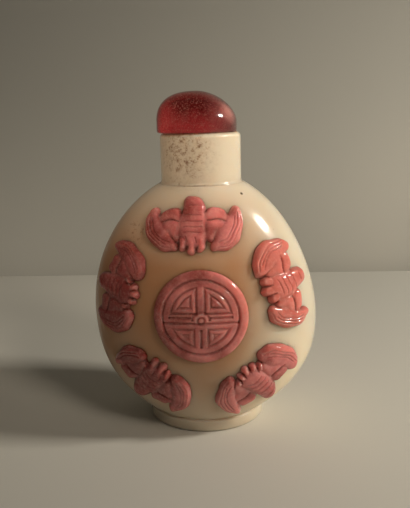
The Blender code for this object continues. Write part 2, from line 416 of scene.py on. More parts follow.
# Dark brown for dirt in the cuts and for painted shade in the cuts and hollows.
CUT_DIRT_AND_SHADE = linear("#64281F")
TINT_SCALE = 1 / (4 * MM)
FINE_SCALE = 1 / (0.6 * MM)
DARK_PIT = (-17.4 * MM, -7.1 * MM, 32.1 * MM)

rose, tree = new_material("rose_overlay_glass_wheel_cut")
where = add(tree, "ShaderNodeTexCoord").outputs["Object"]
tint = add(tree, "ShaderNodeTexNoise", {"Vector": where, "Scale": TINT_SCALE, "Detail": 2.0})
aside = add(tree, "ShaderNodeSeparateXYZ", {"Vector": where}).outputs["X"]
# Painted shade: the random tint is pushed deeper towards the shaded left and lighter on the right.
left_shade_side = add(tree, "ShaderNodeMapRange", {
    "Value": aside, "From Min": -14 * MM, "From Max": 6 * MM, "To Min": 0.26, "To Max": -0.08,
})
tint_and_shade_level = add(tree, "ShaderNodeMath", {
    0: tint.outputs["Fac"], 1: left_shade_side.outputs["Result"],
}, operation="ADD")
tint_and_shade_mask = add(tree, "ShaderNodeMapRange", {
    "Value": tint_and_shade_level.outputs[0], "From Min": 0.33, "From Max": 0.73, "To Min": 0.0, "To Max": 1.0,
})
rose_tint_and_shade = add(tree, "ShaderNodeMix", {
    0: tint_and_shade_mask.outputs["Result"], 6: ROSE, 7: ROSE_DEEP,
}, data_type="RGBA")
# Painted light: coral on the lit right of the bottle.
from_painted_coral = add(tree, "ShaderNodeVectorMath", {0: where, 1: PAINTED_CORAL_PLACE}, operation="DISTANCE")
coral_light_side = add(tree, "ShaderNodeMapRange", {
    "Value": from_painted_coral.outputs["Value"], "From Min": 10 * MM, "From Max": 15 * MM,
    "To Min": 0.65, "To Max": 0.0,
})
rose_lit_and_shaded = add(tree, "ShaderNodeMix", {
    0: coral_light_side.outputs["Result"], 6: rose_tint_and_shade.outputs[2], 7: PAINTED_CORAL,
}, data_type="RGBA")
depth = add(tree, "ShaderNodeAmbientOcclusion", {"Distance": 1.6 * MM}, samples=8, inside=True)
thin_mask = add(tree, "ShaderNodeMapRange", {
    "Value": depth.outputs["AO"], "From Min": 0.30, "From Max": 0.0, "To Min": 0.0, "To Max": 0.6,
})
thinned = add(tree, "ShaderNodeMix", {
    0: thin_mask.outputs["Result"], 6: rose_lit_and_shaded.outputs[2], 7: THIN_ROSE,
}, data_type="RGBA")
# Dirt in the cuts, darkened further by painted shade.
corner = add(tree, "ShaderNodeAmbientOcclusion", {"Distance": 0.45 * MM}, samples=8)
cut_dirt_and_shade_mask = add(tree, "ShaderNodeMapRange", {
    "Value": corner.outputs["AO"], "From Min": 0.88, "From Max": 0.5, "To Min": 0.0, "To Max": 0.7,
})
dirtied_and_shaded = add(tree, "ShaderNodeMix", {
    0: cut_dirt_and_shade_mask.outputs["Result"], 6: thinned.outputs[2], 7: CUT_DIRT_AND_SHADE,
}, data_type="RGBA")
# Painted shade in the hollows between the forms, in the dirt's dark brown.
hollow = add(tree, "ShaderNodeAmbientOcclusion", {"Distance": 1.3 * MM}, samples=8)
hollow_shade_mask = add(tree, "ShaderNodeMapRange", {
    "Value": hollow.outputs["AO"], "From Min": 0.95, "From Max": 0.6, "To Min": 0.0, "To Max": 0.45,
})
hollow_shaded = add(tree, "ShaderNodeMix", {
    0: hollow_shade_mask.outputs["Result"], 6: dirtied_and_shaded.outputs[2], 7: CUT_DIRT_AND_SHADE,
}, data_type="RGBA")
fine = add(tree, "ShaderNodeTexNoise", {
    "Vector": where, "Scale": FINE_SCALE, "Detail": 4.0, "Roughness": 0.7,
})
milky_mask = add(tree, "ShaderNodeMapRange", {
    "Value": fine.outputs["Fac"], "From Min": 0.48, "From Max": 0.68, "To Min": 0.0, "To Max": 0.24,
})
milky = add(tree, "ShaderNodeMix", {
    0: milky_mask.outputs["Result"], 6: hollow_shaded.outputs[2], 7: THIN_ROSE,
}, data_type="RGBA")
from_pit = add(tree, "ShaderNodeVectorMath", {0: where, 1: DARK_PIT}, operation="DISTANCE")
pit_mask = add(tree, "ShaderNodeMapRange", {
    "Value": from_pit.outputs["Value"], "From Min": 0.25 * MM, "From Max": 0.55 * MM,
    "To Min": 0.9, "To Max": 0.0,
})
pitted = add(tree, "ShaderNodeMix", {
    0: pit_mask.outputs["Result"], 6: milky.outputs[2], 7: SPECK,
}, data_type="RGBA")
wheel_marks = add(tree, "ShaderNodeTexNoise", {"Vector": where, "Scale": PIT_SCALE, "Detail": 3.0})
bump = add(tree, "ShaderNodeBump", {
    "Height": wheel_marks.outputs["Fac"], "Strength": 0.3, "Distance": 0.04 * MM,
})
shader = add(tree, "ShaderNodeBsdfPrincipled", {
    "Base Color": pitted.outputs[2],
    "Roughness": 0.09,
    "Normal": bump.outputs["Normal"],
    "IOR": 1.5,
    "Subsurface Weight": 1.0,
    "Subsurface Radius": (1.0, 0.4, 0.35),
    "Subsurface Scale": 2.5 * MM,
})
add(tree, "ShaderNodeOutputMaterial", {"Surface": shader.outputs["BSDF"]})
print("made", rose.name)

# %% [markdown]
# ### Ruby glass
# The dome is solid glass, deep red all through, cut and polished. It lets light in from the side
# and from the pale lip below, so its edges glow. Painted shade deepens its top and leaves it
# brighter red low down, painted light makes its right side paler, and a pale painted reflection
# lies on its right shoulder. Dust clings to it.

# %% Ruby glass
RUBY = linear("#EE4A50")
RUBY_DEEP = linear("#701614")
# A pale rose for the painted light on the dome's right side.
RUBY_LIT_SIDE = linear("#CC8C88")
DUST = linear("#E8C0AC")
# A pale pink for the painted reflection on the right shoulder, and its middle.
PAINTED_REFLECTION = linear("#D8988E")
PAINTED_REFLECTION_PLACE = (6.6 * MM, -4.4 * MM, 61.6 * MM)
SWIRL_SCALE = 1 / (6 * MM)
DUST_SCALE = 1 / (0.28 * MM)

ruby, tree = new_material("ruby_glass_polished")
where = add(tree, "ShaderNodeTexCoord").outputs["Object"]
place_on = add(tree, "ShaderNodeSeparateXYZ", {"Vector": where})
swirl = add(tree, "ShaderNodeTexNoise", {"Vector": where, "Scale": SWIRL_SCALE, "Detail": 3.0})
# Painted shade: the dome's top is pushed towards the deep red, and it is brighter red low down.
crown_shade = add(tree, "ShaderNodeMapRange", {
    "Value": place_on.outputs["Z"], "From Min": 58.5 * MM, "From Max": 64 * MM,
    "To Min": -0.24, "To Max": 0.45,
})
deep_level = add(tree, "ShaderNodeMath", {
    0: swirl.outputs["Fac"], 1: crown_shade.outputs["Result"],
}, operation="ADD")
deep_mask = add(tree, "ShaderNodeMapRange", {
    "Value": deep_level.outputs[0], "From Min": 0.25, "From Max": 0.75, "To Min": 0.0, "To Max": 1.0,
})
ruby_tint_and_shade = add(tree, "ShaderNodeMix", {
    0: deep_mask.outputs["Result"], 6: RUBY, 7: RUBY_DEEP,
}, data_type="RGBA")
# Painted light: paler towards the lit right side.
ruby_lit_side = add(tree, "ShaderNodeMapRange", {
    "Value": place_on.outputs["X"], "From Min": 1.0 * MM, "From Max": 6.5 * MM,
    "To Min": 0.0, "To Max": 0.9,
})
ruby_lit_and_shaded = add(tree, "ShaderNodeMix", {
    0: ruby_lit_side.outputs["Result"], 6: ruby_tint_and_shade.outputs[2], 7: RUBY_LIT_SIDE,
}, data_type="RGBA")
dust = add(tree, "ShaderNodeTexNoise", {"Vector": where, "Scale": DUST_SCALE, "Detail": 2.0})
dust_mask = add(tree, "ShaderNodeMapRange", {
    "Value": dust.outputs["Fac"], "From Min": 0.54, "From Max": 0.66, "To Min": 0.0, "To Max": 0.5,
})
dusted = add(tree, "ShaderNodeMix", {
    0: dust_mask.outputs["Result"], 6: ruby_lit_and_shaded.outputs[2], 7: DUST,
}, data_type="RGBA")
# Painted reflection: a pale patch on the right shoulder, where less light goes through.
from_painted_reflection = add(tree, "ShaderNodeVectorMath", {0: where, 1: PAINTED_REFLECTION_PLACE}, operation="DISTANCE")
painted_reflection_mask = add(tree, "ShaderNodeMapRange", {
    "Value": from_painted_reflection.outputs["Value"], "From Min": 0.8 * MM, "From Max": 3.6 * MM,
    "To Min": 0.85, "To Max": 0.0,
}, interpolation_type="SMOOTHSTEP")
reflection_painted = add(tree, "ShaderNodeMix", {
    0: painted_reflection_mask.outputs["Result"], 6: dusted.outputs[2], 7: PAINTED_REFLECTION,
}, data_type="RGBA")
clear = add(tree, "ShaderNodeMapRange", {
    "Value": painted_reflection_mask.outputs["Result"], "From Min": 0.0, "From Max": 1.0,
    "To Min": 0.9, "To Max": 0.35,
})
dull = add(tree, "ShaderNodeMapRange", {
    "Value": dust.outputs["Fac"], "From Min": 0.4, "From Max": 0.7, "To Min": 0.07, "To Max": 0.22,
})
bump = add(tree, "ShaderNodeBump", {
    "Height": dust.outputs["Fac"], "Strength": 0.3, "Distance": 0.03 * MM,
})
shader = add(tree, "ShaderNodeBsdfPrincipled", {
    "Base Color": reflection_painted.outputs[2],
    "Roughness": dull.outputs["Result"],
    "Normal": bump.outputs["Normal"],
    "IOR": 1.5,
    "Transmission Weight": clear.outputs["Result"],
})
add(tree, "ShaderNodeOutputMaterial", {"Surface": shader.outputs["BSDF"]})
print("made", ruby.name)

# %% [markdown]
# ### Cork
# The plug under the dome is bark cork, cut across its grain: pale brown, dull, with darker pores.

# %% Cork
BARK = linear("#B08558")
PORE = linear("#6E4A2A")
PORE_SCALE = 1 / (0.9 * MM)

cork, tree = new_material("cork_cut_across")
where = add(tree, "ShaderNodeTexCoord").outputs["Object"]
pore = add(tree, "ShaderNodeTexVoronoi", {"Vector": where, "Scale": PORE_SCALE})
pore_mask = add(tree, "ShaderNodeMapRange", {
    "Value": pore.outputs["Distance"], "From Min": 0.1, "From Max": 0.6, "To Min": 1.0, "To Max": 0.0,
})
bark = add(tree, "ShaderNodeMix", {
    0: pore_mask.outputs["Result"], 6: BARK, 7: PORE,
}, data_type="RGBA")
bump = add(tree, "ShaderNodeBump", {
    "Height": pore.outputs["Distance"], "Strength": 0.6, "Distance": 0.1 * MM,
})
shader = add(tree, "ShaderNodeBsdfPrincipled", {
    "Base Color": bark.outputs[2], "Roughness": 0.85, "Normal": bump.outputs["Normal"],
})
add(tree, "ShaderNodeOutputMaterial", {"Surface": shader.outputs["BSDF"]})
print("made", cork.name)

# %% [markdown]
# ## The blown vessel
# A glass blower turns the bottle on an iron and then presses it flat. The same is done here: the
# outline of half a cut-open bottle is drawn once, spun round the upright axis, and pressed, so
# that each ring gets the depth that the form has at its height. It also leans a little, as
# hand-blown glass does. The wall is real, and the inside is empty.


# %% Helpers for meshes
SHARP_DEGREES = 40
WELD = 0.001 * MM


def corners_of(piece):
    """The vertices of a piece as an array, in millimetres."""
    found = np.empty(len(piece.data.vertices) * 3)
    piece.data.vertices.foreach_get("co", found)
    return found.reshape(-1, 3) / MM


def set_corners(piece, points):
    """Moves the vertices of a piece to the points, given in millimetres."""
    piece.data.vertices.foreach_set("co", (points * MM).ravel())
    piece.data.update()


def only(piece):
    """Makes the piece the one selected and active object."""
    bpy.ops.object.select_all(action="DESELECT")
    piece.select_set(True)
    bpy.context.view_layer.objects.active = piece


def spun(name, outline, steps):
    """Spins an outline of (radius, height) points round the upright axis and closes the seam."""
    mesh = bpy.data.meshes.new(name)
    points = [(radius * MM, 0, z * MM) for radius, z in outline]
    mesh.from_pydata(points, [(i, i + 1) for i in range(len(points) - 1)], [])
    piece = bpy.data.objects.new(name, mesh)
    bpy.context.scene.collection.objects.link(piece)
    only(piece)
    bpy.ops.object.mode_set(mode="EDIT")
    bpy.ops.mesh.select_all(action="SELECT")
    bpy.ops.mesh.spin(steps=steps, angle=2 * math.pi, center=(0, 0, 0), axis=(0, 0, 1))
    bpy.ops.mesh.select_all(action="SELECT")
    bpy.ops.mesh.remove_doubles(threshold=WELD)
    bpy.ops.mesh.normals_make_consistent(inside=False)
    bpy.ops.object.mode_set(mode="OBJECT")
    return piece


def finished(piece, finish):
    """Smooth shading, material, body and slot of a new piece."""
    piece.data.materials.clear()
    piece.data.materials.append(finish)
    only(piece)
    bpy.ops.object.shade_smooth_by_angle(angle=math.radians(SHARP_DEGREES))
    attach(piece, "root")
    print(piece.name, "has", len(piece.data.polygons), "faces")
    return piece


def arc(radius, z, size, start, end, count):
    """Points of a rounded edge round (radius, z), from one angle to another, in degrees."""
    turns = np.radians(np.linspace(start, end, count))
    return [(radius + size * math.cos(turn), z + size * math.sin(turn)) for turn in turns]


# %% Vessel
BODY_RINGS = 60
VESSEL_STEPS = 160


def form_rows(form, bottom, top):
    """Outline of a blown form from bottom to top, closer where it turns in."""
    quarter = np.linspace(0, math.pi / 2, BODY_RINGS)
    below = WIDEST_Z - (WIDEST_Z - bottom) * np.cos(quarter)
    above = WIDEST_Z + (top - WIDEST_Z) * np.sin(quarter[1:])
    heights = np.concatenate([below, above])
    return list(zip(form.half_size(0, heights), heights))


hollow_low = FLOOR_THICKNESS + FOOT_RECESS
bore_low = LIP_Z - BORE_LENGTH
foot_outer = FOOT_HALF_WIDTH - FOOT_ROUNDING
outline = [(0, FOOT_RECESS), (FOOT_HALF_WIDTH - FOOT_RIM - FOOT_RECESS, FOOT_RECESS)]
outline += [(FOOT_HALF_WIDTH - FOOT_RIM, 0.0)]
outline += arc(foot_outer, FOOT_ROUNDING, FOOT_ROUNDING, -90, 0, 7)
outline += [(FOOT_HALF_WIDTH, FOOT_HEIGHT - FOOT_CREASE)]
outline += [
    (radius, z) for radius, z in form_rows(outer, FOOT_HEIGHT, SHOULDER_Z)
    if z < WIDEST_Z or radius > NECK_RADIUS + NECK_CURVE * CURVE_REACH
]
curve_z = SHOULDER_Z + NECK_CURVE * CURVE_RISE
outline += arc(NECK_RADIUS + NECK_CURVE, curve_z, NECK_CURVE, CURVE_START, 180, 8)
outline += arc(NECK_RADIUS - LIP_ROUNDING, LIP_Z - LIP_ROUNDING, LIP_ROUNDING, 0, 90, 9)
outline += [(BORE_RADIUS, LIP_Z)]
outline += form_rows(inner, hollow_low, bore_low)[::-1]
outline += [(0, hollow_low)]
vessel = spun("blown_bottle", outline, VESSEL_STEPS)

points = corners_of(vessel)
radius = np.hypot(points[:, 0], points[:, 1])
z = points[:, 2]
is_inner = (radius < inner.half_size(0, z) + WALL / 4) & (z > FLOOR_THICKNESS)
foot_ratio = (FOOT_HALF_DEPTH - (FOOT_HALF_WIDTH - radius)) / np.maximum(radius, 0.1)
outer_ratio = outer.half_size(1, z) / outer.half_size(0, z)
inner_ratio = inner.half_size(1, z) / inner.half_size(0, z)
ratio = np.where(is_inner, inner_ratio, outer_ratio)
ratio = np.where(z < FOOT_HEIGHT, np.clip(foot_ratio, 0.5, 1.0), ratio)
ratio = np.where(z > SHOULDER_Z, 1.0, ratio)
points[:, 0] += lean(z)
points[:, 1] *= ratio
set_corners(vessel, points)
finished(vessel, milk)

# %% [markdown]
# ## Carving on a curved wall
# Each carved figure is worked out flat first, as a carver draws it on paper: how far a point is
# inside the outline, and how high the glass stands there. Then it is laid on the bottle. A point
# goes as far along the glass from the medallion's middle as it lay from it on the paper, in the
# same direction, and stands out from the glass by its height.


# %% Laying flat work on the glass
# A point in the very middle has no direction to go in, so all points move over by a millionth.
MIDDLE_NUDGE = 1e-6
WALK_STEPS = 40
CURVE_PARTS = 6


def laid_on_front(flat):
    """Moves points (across, up, height) onto the front of the bottle."""
    across, upwards, stand = (flat + (MIDDLE_NUDGE, 0, 0)).T
    far = np.hypot(across, upwards)
    heading = np.stack([across / far, 0 * far, upwards / far], axis=1)
    plane = np.cross(heading, (0.0, 1.0, 0.0))
    start = (0.0, -float(outer.half_size(1, np.array(MEDALLION_Z))), MEDALLION_Z)
    points = np.tile(start, (len(far), 1))
    for _ in range(WALK_STEPS):
        ahead = np.cross(plane, outer.slope(points))
        ahead /= np.linalg.norm(ahead, axis=1)[:, None]
        ahead *= np.sign((ahead * heading).sum(axis=1))[:, None]
        points = outer.snapped(points + ahead * (far / WALK_STEPS)[:, None])
    normal = outer.slope(points)
    normal /= np.linalg.norm(normal, axis=1)[:, None]
    return points + normal * stand[:, None]


def chain(x, y, stations):
    """Distance outside a row of joined discs, each given by its place and radius."""
    best = np.full(x.shape, 1e3)
    for (x0, y0, r0), (x1, y1, r1) in zip(stations, stations[1:]):
        span = (x1 - x0) ** 2 + (y1 - y0) ** 2
        part = np.clip(((x - x0) * (x1 - x0) + (y - y0) * (y1 - y0)) / span, 0, 1)
        gap = np.hypot(x - x0 - part * (x1 - x0), y - y0 - part * (y1 - y0))
        best = np.minimum(best, gap - r0 - part * (r1 - r0))
    return best


def smooth(stations):
    """More stations on a smooth curve through the given ones (Catmull and Rom's)."""
    ends = np.array([stations[0], *stations, stations[-1]], float)
    found = [ends[0]]
    for before, start, end, after in zip(ends, ends[1:], ends[2:], ends[3:]):
        for t in np.linspace(1 / CURVE_PARTS, 1, CURVE_PARTS):
            bend = 2 * before - 5 * start + 4 * end - after
            twist = 3 * start - before - 3 * end + after
            found.append(start + (end - before) * t / 2 + bend * t ** 2 / 2 + twist * t ** 3 / 2)
    return found


def cushion(outside, width):
    """Rises from 0 at an outline to 1 at that width inside it, like a rounded edge."""
    inside = np.clip(-outside / width, 0, 1)
    return 1 - (1 - inside) ** 2.4


def soft_max(first, second, blend):
    """The higher of two heights, with the crease between them filled a little."""
    overlap = np.clip(1 - np.abs(first - second) / blend, 0, 1)
    return np.maximum(first, second) + overlap ** 2 * blend / 4


def cut(x, y, route, width, depth):
    """Depth of a groove of the given width along a smooth route of points."""
    gap = chain(x, y, [(px, py, 0.0) for px, py in smooth(route)])
    return depth * np.exp(-(gap / width) ** 2)


# %% [markdown]
# ### The bats
# A bat stands for good luck, and five of them for five blessings. Each has a tongue-shaped body
# with ribs cut across it, a head of three nodules towards the medallion, two lobes beside the
# body and two long wings that curl round them. One half is drawn, and the other mirrors it. A
# fine grid is cut out along the outline, raised to the height of the carving and given a wall.

# %% Drawing of a bat
EDGE_REACH = 0.10
PLATE_TOP = 0.75
BODY = ((0, 3.5, 1.85), (0, 1.3, 2.3), (0, -1.6, 2.6))
BODY_TOP, BODY_EDGE = 1.30, 1.7
KNOB_TOP, KNOB_EDGE = 1.34, 0.80
LOBE_TOP, LOBE_EDGE = 1.08, 1.0
WING_TOP, WING_EDGE = 1.18, 1.3
LOBES = (
    ((3.4, 1.7, 1.25), (5.2, 1.5, 1.10)),
    ((3.4, -0.5, 1.20), (4.9, -0.4, 0.95)),
    ((3.4, -1.05, 1.10), (3.2, -2.5, 0.80)),
)
WEB = ((2.5, -0.4, 2.5), (6.2, -0.5, 2.3))
HEAD = ((-1.7, -2.9, 1.05), (1.0, -2.9, 1.05))
FINGERS = (
    ((-2.10, -2.9, 0.72), (-2.15, -4.0, 0.70)),
    ((-0.45, -2.6, 0.70), (-0.50, -4.5, 0.76)),
    ((1.20, -2.8, 0.72), (1.25, -4.2, 0.70)),
)
BOSSES = (
    ((-1.90, -3.2, 1.02), (-1.95, -3.5, 1.00)),
    ((-0.10, -3.7, 1.08), (-0.15, -3.9, 1.05)),
    ((1.60, -3.1, 0.98), (1.70, -3.4, 0.95)),
)
BEADS = (
    ((-2.50, -2.9, 0.66), (-2.55, -3.1, 0.64)),
    ((-1.20, -3.8, 0.72), (-1.25, -3.9, 0.70)),
    ((0.25, -4.1, 0.76), (0.25, -4.3, 0.74)),
    ((1.55, -3.6, 0.70), (1.60, -3.7, 0.68)),
    ((2.55, -2.7, 0.60), (2.60, -2.8, 0.58)),
)
LONG_WING = (
    (7.8, 2.5, 0.95), (7.75, 0.65, 1.65), (6.95, -1.4, 2.0), (5.45, -3.0, 1.7), (3.95, -3.95, 0.95),
)
ROUND_WING = (
    (7.0, 2.3, 1.35), (7.4, 0.8, 2.0), (6.95, -1.2, 2.35), (5.7, -2.9, 2.1), (4.5, -3.7, 1.45),
)
SHORT_WING = (
    (7.2, 1.7, 1.00), (7.1, 0.2, 1.50), (6.3, -1.5, 1.75), (5.1, -2.8, 1.45), (4.1, -3.5, 0.95),
)
WING_CUTS = (
    ((8.05, 1.9), (8.0, -0.3), (6.9, -2.3), (5.3, -3.7)),
    ((8.5, 2.2), (8.8, 0.3), (7.9, -2.0), (6.2, -3.8), (4.3, -4.5)),
    ((7.6, 1.2), (7.2, -0.9), (5.9, -2.6), (4.4, -3.5)),
)
WING_CUT_WIDTH, WING_CUT_DEPTH = 0.14, 0.15
LOBE_CUT = ((2.6, 0.5), (4.4, 0.62), (6.0, 0.45))
LOBE_CUT_WIDTH, LOBE_CUT_DEPTH = 0.14, 0.16
RIBS = ((3.4, 1.1, 0.30), (1.7, 1.9, 0.40), (0.6, 2.0, 0.35), (-0.4, 2.0, 0.35), (-1.3, 1.8, 0.45))
RIB_FADE = 0.4
RIB_WIDTH, RIB_DEPTH = 0.13, 0.14
KNOB_CUT_START, KNOB_CUT_LENGTH = 0.35, 0.9
KNOB_CUT_WIDTH, KNOB_CUT_DEPTH = 0.13, 0.16
RIM_SHARE, RIM_WIDTH = 0.35, 0.7
CREASE = 0.14
HAND = 0.16


def bat_relief(x, y, style):
    """Distance outside the bat's outline, and the height of its carving.

    A style is a bat's own number, its head, and its two wings. The number bends the drawing a
    little, as no two are cut alike.
    """
    mood, head, wing_left, wing_right = style
    x, y = (
        x + HAND * np.sin(0.9 * y + 2.1 * mood) + HAND / 2 * np.sin(1.9 * y - 1.3 * mood),
        y + HAND * np.sin(0.8 * x + 1.7 * mood) + HAND / 2 * np.sin(2.1 * x + 0.9 * mood),
    )
    side = np.abs(x)
    body = chain(x, y, smooth(BODY))
    knobs = [chain(x, y, knob) for knob in head]
    roots = [knob[0][:2] for knob in head]
    lobes = [chain(side, y, lobe) for lobe in LOBES]
    wing = np.minimum(chain(-x, y, smooth(wing_left)), chain(x, y, smooth(wing_right)))
    plates = [chain(side, y, WEB), chain(x, y, HEAD)]
    outline = np.min([body, *knobs, *lobes, wing, *plates], axis=0) - EDGE_REACH
    rise = np.full(x.shape, PLATE_TOP)
    for outside, top, width in (
        (body, BODY_TOP, BODY_EDGE),
        *((knob, KNOB_TOP, KNOB_EDGE) for knob in knobs),
        *((lobe, LOBE_TOP, LOBE_EDGE) for lobe in lobes),
        (wing, WING_TOP, WING_EDGE),
    ):
        rise = soft_max(rise, PLATE_TOP + (top - PLATE_TOP) * cushion(outside, width), CREASE)
    for route in WING_CUTS:
        rise -= cut(side, y, route, WING_CUT_WIDTH, WING_CUT_DEPTH)
    for middle, half, arch in RIBS:
        bend = middle - arch * (x / half) ** 2
        on_rib = np.clip((half - np.abs(x)) / RIB_FADE, 0, 1)
        rise -= on_rib * RIB_DEPTH * np.exp(-((y - bend) / RIB_WIDTH) ** 2)
    rise -= cut(side, y, LOBE_CUT, LOBE_CUT_WIDTH, LOBE_CUT_DEPTH)
    for (left, low_left), (right, low_right) in zip(roots, roots[1:]):
        middle = (left + right) / 2
        start = max(low_left, low_right) + KNOB_CUT_START
        route = ((middle, start), (middle, start - KNOB_CUT_LENGTH))
        rise -= cut(x, y, route, KNOB_CUT_WIDTH, KNOB_CUT_DEPTH)
    return outline, rise * (RIM_SHARE + (1 - RIM_SHARE) * cushion(outline, RIM_WIDTH))


# %% A carved figure from its drawing
CELL = 0.10
ROOT = 0.7
BAT_SPAN = (21.0, 12.0)


def carved_bat(name, across, upwards, turn, stretch, style):
    """One bat, with its middle and turn given on the face, and its width stretched a little."""
    bpy.ops.object.select_all(action="DESELECT")
    bpy.ops.mesh.primitive_grid_add(
        x_subdivisions=round(BAT_SPAN[0] / CELL), y_subdivisions=round(BAT_SPAN[1] / CELL), size=1
    )
    piece = bpy.context.object
    piece.name = name
    flat = corners_of(piece) * MM * (*BAT_SPAN, 1)
    outline, _ = bat_relief(flat[:, 0], flat[:, 1], style)
    step = CELL / 4
    slope_x = (bat_relief(flat[:, 0] + step, flat[:, 1], style)[0] - outline) / step
    slope_y = (bat_relief(flat[:, 0], flat[:, 1] + step, style)[0] - outline) / step
    near = (outline > 0) & (outline < CELL)
    flat[near, 0] -= (slope_x * outline)[near]
    flat[near, 1] -= (slope_y * outline)[near]
    _, rise = bat_relief(flat[:, 0], flat[:, 1], style)
    flat[:, 2] = rise
    set_corners(piece, flat)
    rows = round(BAT_SPAN[1] / CELL) + 1
    kept = without_contacts((outline < CELL).reshape(rows, -1))
    cut_out_and_walled(piece, ~kept.ravel())
    flat = corners_of(piece)
    flat[:, 0] *= stretch
    c, s = math.cos(turn), math.sin(turn)
    moved = np.stack([
        across + flat[:, 0] * c - flat[:, 1] * s,
        upwards + flat[:, 0] * s + flat[:, 1] * c,
        flat[:, 2],
    ], axis=1)
    set_corners(piece, laid_on_front(moved))
    return piece


def without_contacts(kept):
    """The kept points of the grid, less those at which two cells meet only by a corner."""
    while True:
        cells = np.pad(kept[:-1, :-1] & kept[1:, :-1] & kept[:-1, 1:] & kept[1:, 1:], 1)
        low_left, low_right, high_left, high_right = (
            cells[:-1, :-1], cells[:-1, 1:], cells[1:, :-1], cells[1:, 1:],
        )
        rising = low_left & high_right & ~low_right & ~high_left
        falling = low_right & high_left & ~low_left & ~high_right
        if not (rising | falling).any():
            return kept
        kept = kept & ~rising & ~falling


def cut_out_and_walled(piece, waste):
    """Deletes the waste vertices, then gives the sheet that is left a wall and an underside."""
    only(piece)
    bpy.ops.object.mode_set(mode="EDIT")
    bpy.ops.mesh.select_mode(type="VERT")
    bpy.ops.mesh.select_all(action="DESELECT")
    bpy.ops.object.mode_set(mode="OBJECT")
    piece.data.vertices.foreach_set("select", waste)
    bpy.ops.object.mode_set(mode="EDIT")
    bpy.ops.mesh.delete(type="VERT")
    bpy.ops.mesh.select_all(action="SELECT")
    bpy.ops.mesh.delete_loose()
    bpy.ops.mesh.select_all(action="SELECT")
    bpy.ops.mesh.extrude_region_move(TRANSFORM_OT_translate={"value": (0, 0, -ROOT * MM)})
    bpy.ops.object.mode_set(mode="OBJECT")
    chosen = np.zeros(len(piece.data.vertices), bool)
    piece.data.vertices.foreach_get("select", chosen)
    flat = corners_of(piece)
    flat[chosen, 2] = -ROOT
    set_corners(piece, flat)
    bpy.ops.object.mode_set(mode="EDIT")
    bpy.ops.mesh.select_all(action="SELECT")
    bpy.ops.mesh.normals_make_consistent(inside=False)
    bpy.ops.object.mode_set(mode="OBJECT")


def copied_to_back(piece, name):
    """Mirror copy of a finished piece on the other face."""
    twin = piece.copy()
    twin.data = piece.data.copy()
    twin.name = name
    bpy.context.scene.collection.objects.link(twin)
    points = corners_of(twin)
    points[:, 1] *= -1
    set_corners(twin, points)
    only(twin)
    bpy.ops.object.mode_set(mode="EDIT")
    bpy.ops.mesh.select_all(action="SELECT")
    bpy.ops.mesh.flip_normals()
    bpy.ops.object.mode_set(mode="OBJECT")
    return twin


# %% Ten bats
BATS = (
    ("top", -1.1, 16.6, 90, 0.97, (1, FINGERS, LONG_WING, LONG_WING)),
    ("right", 16.0, 4.9, 17, 0.96, (2, BOSSES, ROUND_WING, LONG_WING)),
    ("lower_right", 10.4, -14.0, -53, 0.95, (3, BEADS, ROUND_WING, LONG_WING)),
    ("lower_left", -10.3, -13.4, -127, 0.94, (4, FINGERS, LONG_WING, SHORT_WING)),
    ("left", -16.4, 4.7, 163, 0.97, (5, BEADS, ROUND_WING, LONG_WING)),
)
for name, across, upwards, heading, stretch, style in BATS:
    turn = math.radians(heading - 90)
    front = carved_bat(f"bat_front_{name}", across, upwards, turn, stretch, style)
    back = copied_to_back(front, f"bat_back_{name}")
    finished(front, rose)
    finished(back, rose)

# %% [markdown]
# ### The medallion
# The disc has a plain border, a ring, and inside it a fret of bars and nested corners, which is
# an old ornament of its own. Rings of points are spun from one row, so that the edge is a true
# circle, and the fret is cut into them by the same kind of drawing as the bats. Its drawing is in
# shares of the disc's radius.

# %% Drawing of the fret
RING_COUNT = 95
SPOKES = 400
MEDALLION_TOP = 1.05
BORDER_CUT = 0.80
RING_CUT = 0.63
FRET_DEPTH = 0.26
LINE = 0.026
CENTRE_Y = -0.06
CENTRE_RING = 0.07
UPPER_ARC = 0.18
BAR_START = 0.20


def groove(gap):
    """Depth of a fret line at the given distance from its middle."""
    return FRET_DEPTH * np.exp(-(gap / LINE) ** 2)


def fret_relief(x, y):
    """Height of the medallion at a place given as shares of its radius."""
    far = np.hypot(x, y)
    rise = MEDALLION_TOP * (0.55 + 0.45 * cushion(far - 1, 0.12))
    rise -= 0.08 * np.clip((BORDER_CUT + 0.03 - far) / 0.05, 0, 1)
    rise -= groove(far - BORDER_CUT)
    bar_x = np.where(y > 0, 0.09, 0.15)
    corner = np.maximum(far - RING_CUT, np.maximum(bar_x - np.abs(x), 0.17 - np.abs(y + 0.08)))
    for level in (0.0, -0.12):
        rise -= groove(corner - level)
    rise -= FRET_DEPTH * 0.7 * np.clip((-0.20 - corner) / 0.03, 0, 1)
    wave = 0.02 * np.cos(9 * x) * np.clip(1 - np.abs(x) / 0.3, 0, 1)
    rise -= (far < BORDER_CUT) * groove(y + 0.12 + wave)
    rise -= ((np.abs(x) > BAR_START) & (far < RING_CUT + 0.04)) * groove(y - wave)
    rise -= ((y < -0.25) & (far < RING_CUT + 0.02)) * groove(x)
    centre = np.hypot(x, y - CENTRE_Y)
    rise -= groove(centre - CENTRE_RING)
    rise -= (y > CENTRE_Y) * groove(centre - UPPER_ARC)
    return rise


